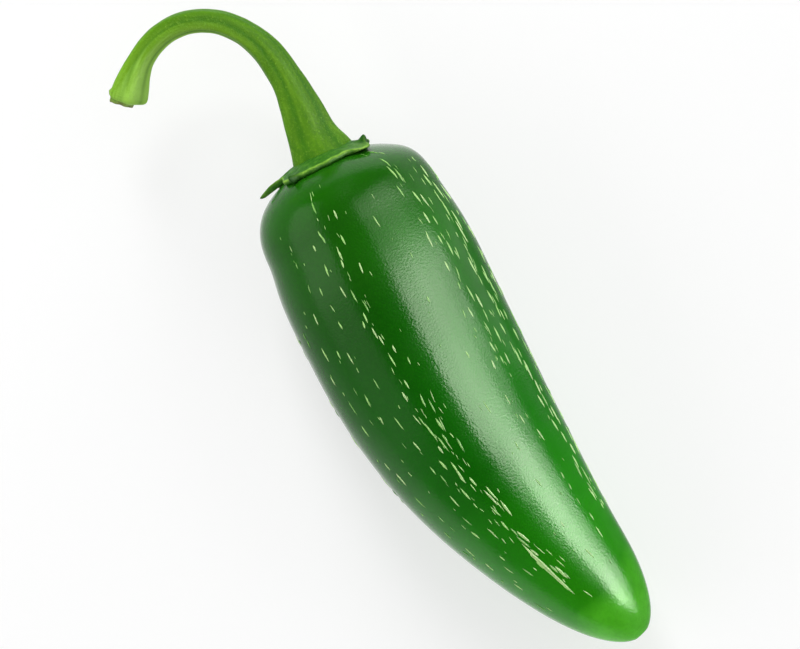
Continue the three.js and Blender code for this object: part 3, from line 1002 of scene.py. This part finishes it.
def picked_end_finish():
    material, tree, shader = new_finish("picked_end_cork")
    place = add(tree, "ShaderNodeTexCoord").outputs["Object"]
    grain = noise(tree, place, END_SCALE, detail=3.0, roughness=0.6)
    green = ramp(tree, grain, END_GREENS)
    colour = blend(tree, read(tree, "brown")["Fac"], green, ramp(tree, grain, END_BROWNS))
    tree.links.new(colour, shader.inputs["Base Color"])
    shader.inputs["Roughness"].default_value = 0.6
    tree.links.new(bump(tree, grain, END_DEPTH, 0.7), shader.inputs["Normal"])
    return material


picked_end = bpy.data.objects.new("picked_end", picked_end_mesh())
bpy.context.scene.collection.objects.link(picked_end)
picked_end.data.materials.append(picked_end_finish())
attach(picked_end, "root")

for line in (pod_line, stem_line):
    bpy.data.objects.remove(line)  # the pieces no longer need the centre lines

# The studio: a white table that glows a little, a bank of soft panels over the pod's right that its wax
# mirrors, dim ones over its left, soft lamps and a broad ceiling that don't show in it, and a camera above.
BANK_DISTANCE = 0.72
BANK_COLUMNS = (-0.30, -0.10, 0.0, 0.13, 0.30, 0.48, 0.95)  # m along the pod, where the columns meet
BANK_ROWS = (  # degrees from overhead where a row begins and ends, and how bright each of its panels is
    (13, 35, (1.5, 3.2, 8.2, 11.0, 9.5, 0.7)),
    (35, 48, (2.0, 4.8, 10.0, 11.3, 12.5, 17.0)),
    (48, 66, (1.8, 4.5, 8.5, 8.8, 14.5, 19.0)),
    (66, 84, (0.7, 3.2, 6.5, 2.6, 9.0, 8.0)),
    (84, 120, (0.2, 0.5, 1.0)),
)
LEFT_SPAN = (-88, -42)
LEFT_PANELS = (  # m along the pod where a panel over its left begins and ends, and how bright it is
    (-1.20, -0.08, 1.1),
    (-0.08, 0.25, 0.45),
    (0.25, 0.95, 0.12),
)
SOFT_LAMPS = (  # name, size, direction, distance, power
    ("stem_lamp", (0.3, 0.9), (-0.85, 0.2, 0.45), 1.0, 8.0),
    ("tip_lamp", (0.3, 0.9), (0.9, 0.25, 0.4), 1.0, 1.6),
    ("left_lamp", (0.8, 0.8), (0, -0.906308, 0.422618), 1.0, 2.0),
    ("right_lamp", (0.8, 0.8), (0, 0.906308, 0.422618), 1.0, 2.6),
    ("ceiling", (4.4, 4.4), (0, 0, 1), 1.3, 25.0),
)
TABLE_HALF = 3.0
TABLE_GREY = 0.4
TABLE_GLOW = 0.60
ROOM_TONES = (  # share of the way from straight down to straight up, brightness
    (0.0, 1.6),
    (0.06, 0.7),
    (0.2, 0.42),
    (0.45, 0.3),
    (0.5, 0.02),
)
ROOM_LEFT = (-0.45, 0.6)  # a factor and an offset: the room is brighter on the pod's left
BEHIND_GLOW = 4.5  # and on the right behind its shoulder
BEHIND_SPREAD = 0.2
CAMERA_HEIGHT = 0.9
CAMERA_SENSOR = 36.0
CAMERA_REACH = 10.0
PHOTO_WIDTH = 800
PHOTO_SCALE = 6.4  # pixels for a millimetre of the pepper
FRAME_MIDDLE = Vector((-0.842, 1.93, 0)) * MM
POD_SLOPE = math.radians(59.02)  # how steeply the pod points down in the photograph
OUTLINE_HEIGHT = 0.015  # the height at which the pod's outline is seen


def pale_table():
    mesh = bpy.data.meshes.new("table")
    square = [(x * TABLE_HALF, y * TABLE_HALF, 0) for x, y in ((-1, -1), (1, -1), (1, 1), (-1, 1))]
    mesh.from_pydata(square, [], [(0, 1, 2, 3)])
    table = bpy.data.objects.new("table", mesh)
    bpy.context.scene.collection.objects.link(table)
    material, _, shader = new_finish("table_white")
    shader.inputs["Base Color"].default_value = (TABLE_GREY, TABLE_GREY, TABLE_GREY, 1.0)
    shader.inputs["Roughness"].default_value = 0.9
    shader.inputs["Specular IOR Level"].default_value = 0.1
    shader.inputs["Emission Color"].default_value = (1.0, 1.0, 1.0, 1.0)
    shader.inputs["Emission Strength"].default_value = TABLE_GLOW
    mesh.materials.append(material)
    table.visible_glossy = False


def panel(name, size, middle, facing, power):
    light = bpy.data.lights.new(name, "AREA")
    light.shape = "RECTANGLE"
    light.size, light.size_y = size
    light.energy = power
    lamp = bpy.data.objects.new(name, light)
    lamp.location = middle
    lamp.rotation_euler = (-facing).to_track_quat("-Z", "Y").to_euler()
    bpy.context.scene.collection.objects.link(lamp)
    return lamp


def mirrored_panel(name, left, right, begins, ends, brightness):
    """A panel that shows in the wax, between two degrees from overhead on the pod's right."""
    lean = math.radians((begins + ends) / 2)
    facing = Vector((0, math.sin(lean), math.cos(lean)))
    wide = 2 * BANK_DISTANCE * math.tan(math.radians((ends - begins) / 2))
    size = (right - left, wide)
    middle = Vector(((left + right) / 2, 0, 0)) + facing * BANK_DISTANCE
    return panel(name, size, middle, facing, math.pi * size[0] * size[1] * brightness)


def soft_surroundings():
    """A dark room with a pale floor."""
    world = bpy.data.worlds.new("room")
    bpy.context.scene.world = world
    world.use_nodes = True
    tree = world.node_tree
    background = tree.nodes["Background"].inputs
    forward, rightward, height = split_xyz(tree, add(tree, "ShaderNodeTexCoord").outputs["Generated"])
    upward = calc(tree, "MULTIPLY_ADD", height, 0.5, 0.5)
    greys = [(place, (tone, tone, tone)) for place, tone in ROOM_TONES]
    tree.links.new(ramp(tree, upward, greys), background["Color"])
    behind = calc(tree, "MULTIPLY", forward, -BEHIND_GLOW)
    behind = calc(tree, "MULTIPLY", behind, calc(tree, "ADD", rightward, BEHIND_SPREAD))
    leftward = clamped(tree, rightward, *ROOM_LEFT)
    strength = calc(tree, "ADD", leftward, calc(tree, "MAXIMUM", behind, 0.0))
    tree.links.new(strength, background["Strength"])


def overhead_camera():
    camera = bpy.data.cameras.new("camera")
    camera.sensor_width = CAMERA_SENSOR
    seen = PHOTO_WIDTH / PHOTO_SCALE * MM
    camera.lens = camera.sensor_width * (CAMERA_HEIGHT - OUTLINE_HEIGHT) / seen
    camera.clip_end = CAMERA_REACH
    holder = bpy.data.objects.new("camera", camera)
    holder.location = FRAME_MIDDLE + UP * CAMERA_HEIGHT
    holder.rotation_euler = (0, 0, POD_SLOPE)
    bpy.context.scene.collection.objects.link(holder)
    bpy.context.scene.camera = holder


pale_table()
for begins, ends, row in BANK_ROWS:
    for left, right, bright in zip(BANK_COLUMNS, BANK_COLUMNS[1:], row):
        mirrored_panel("bank", left, right, begins, ends, bright).visible_diffuse = False
for left, right, bright in LEFT_PANELS:
    mirrored_panel("left_panel", left, right, *LEFT_SPAN, bright)
for name, size, direction, distance, power in SOFT_LAMPS:
    facing = Vector(direction).normalized()
    panel(name, size, facing * distance, facing, power).visible_glossy = False
soft_surroundings()
overhead_camera()
bpy.context.scene.view_settings.view_transform = "Standard"
